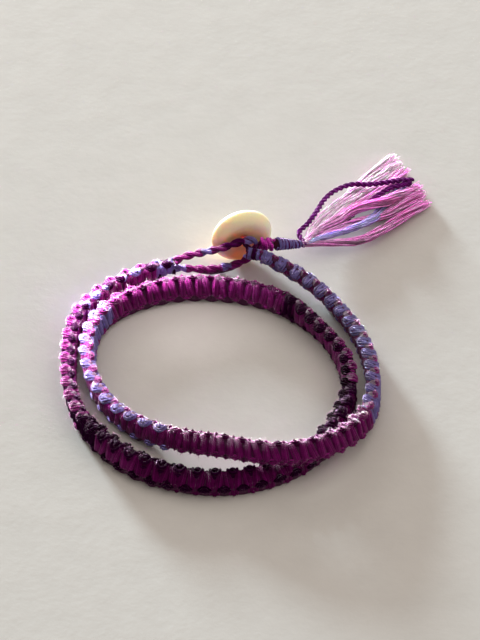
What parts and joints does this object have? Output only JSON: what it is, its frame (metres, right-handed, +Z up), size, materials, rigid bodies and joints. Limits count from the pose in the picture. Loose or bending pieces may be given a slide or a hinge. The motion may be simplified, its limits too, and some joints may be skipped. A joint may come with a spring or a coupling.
{
  "type": "wrap bracelet",
  "caption": "Square-knotted cord wrap bracelet lying coiled on a surface, closed by a shell button in a twisted cord loop, with a whipped tassel.",
  "frame": {"origin": "bottom centre of the bounding box of the whole piece, on the surface it lies on", "axes": "+Z up from the surface, +Y from the front of the ring to the button and tassel at the back, +X to the right, where the tassel lies"},
  "size_m": [0.0775, 0.1046, 0.0131],
  "materials": {
    "band_first": "mercerised cotton floss, knotted, magenta with periwinkle stretches",
    "band_second": "mercerised cotton floss, knotted, magenta with dark aubergine",
    "tie_cord": "cotton floss, wound",
    "shell": "polished cream shell, translucent at the rim",
    "loop_cord": "cotton floss, twisted",
    "knot_cord": "cotton floss, knotted",
    "whipping_cord": "cotton floss, whipped",
    "tassel_floss": "loose cotton floss, matt with a soft sheen"
  },
  "bodies": {
    "root": {"first_turn": "band_first", "second_turn": "band_second", "button_tie": "tie_cord", "button": "shell", "button_loop": "loop_cord", "tassel_knot": "knot_cord", "whipping": "whipping_cord", "tassel": "tassel_floss"}
  },
  "joints": []
}
